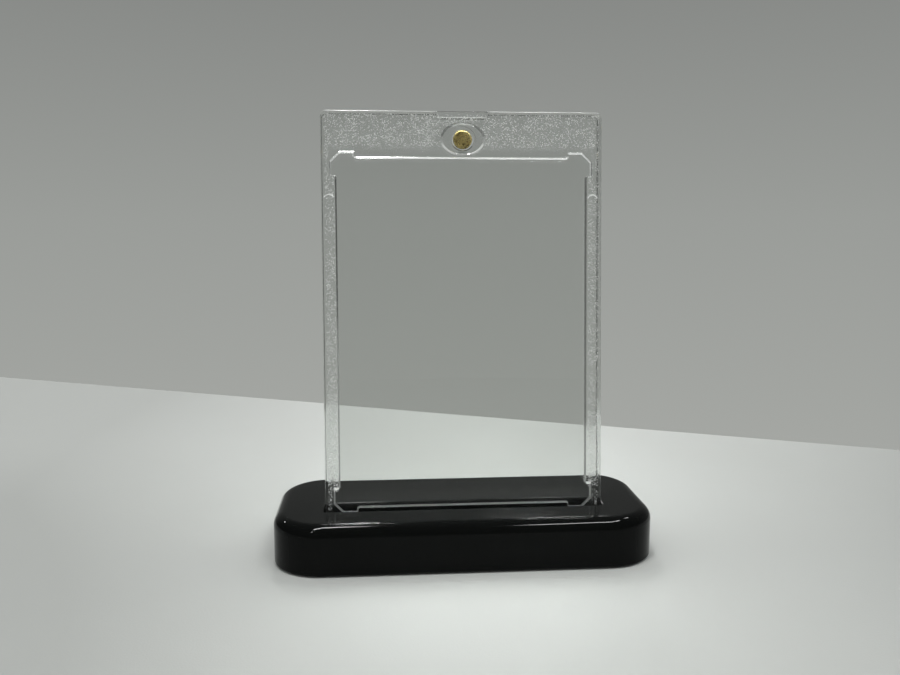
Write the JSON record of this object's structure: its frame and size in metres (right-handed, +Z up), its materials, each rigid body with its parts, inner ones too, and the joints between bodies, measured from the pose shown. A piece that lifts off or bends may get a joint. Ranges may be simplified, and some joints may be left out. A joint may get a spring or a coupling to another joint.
{
  "type": "trading card display case",
  "caption": "Clear two-part magnetic case for one trading card, standing in the slot of a low black stand with rounded ends and leaning slightly back.",
  "frame": {"origin": "middle of the stand's footprint, on the surface that it stands on", "axes": "+X to the right as the card is seen, +Y from the card's front to its back, +Z up"},
  "size_m": [0.0984, 0.0414, 0.1145],
  "materials": {
    "clear_plastic": "water-clear moulded plastic, polished, with a pebbled border",
    "gloss_black": "high-gloss black moulding",
    "satin_black": "fine spark-eroded black",
    "plain_steel": "cold-drawn, oiled",
    "black_steel": "black zinc",
    "foot_rubber": "matt",
    "gold_plate": "gold-coloured plating"
  },
  "bodies": {
    "stand": {"stand_shell": "gloss_black", "stand_cover": "satin_black", "front_weight_bar": "plain_steel", "rear_weight_bar": "plain_steel", "cover_screws": "black_steel", "foot_front_left": "foot_rubber", "foot_front_right": "foot_rubber", "foot_rear_left": "foot_rubber", "foot_rear_right": "foot_rubber"},
    "case_back": {"case_back_panel": "clear_plastic", "back_magnet": "gold_plate"},
    "lid": {"case_lid": "clear_plastic", "lid_magnet": "gold_plate"}
  },
  "joints": [
    {"name": "case_lift", "type": "slide", "parent": "stand", "child": "case_back", "axis": [0, 0.0872, 0.9962], "range_m": [0, 0.06]},
    {"name": "lid_open", "type": "hinge", "parent": "case_back", "child": "lid", "pos_m": [0, -0.00496, 0.00869], "axis": [1, 0, 0], "range_deg": [0, 60]}
  ],
  "couplings": [
    {"joint": "lid_open", "follows": "case_lift", "rad_per_m": 17.45}
  ]
}
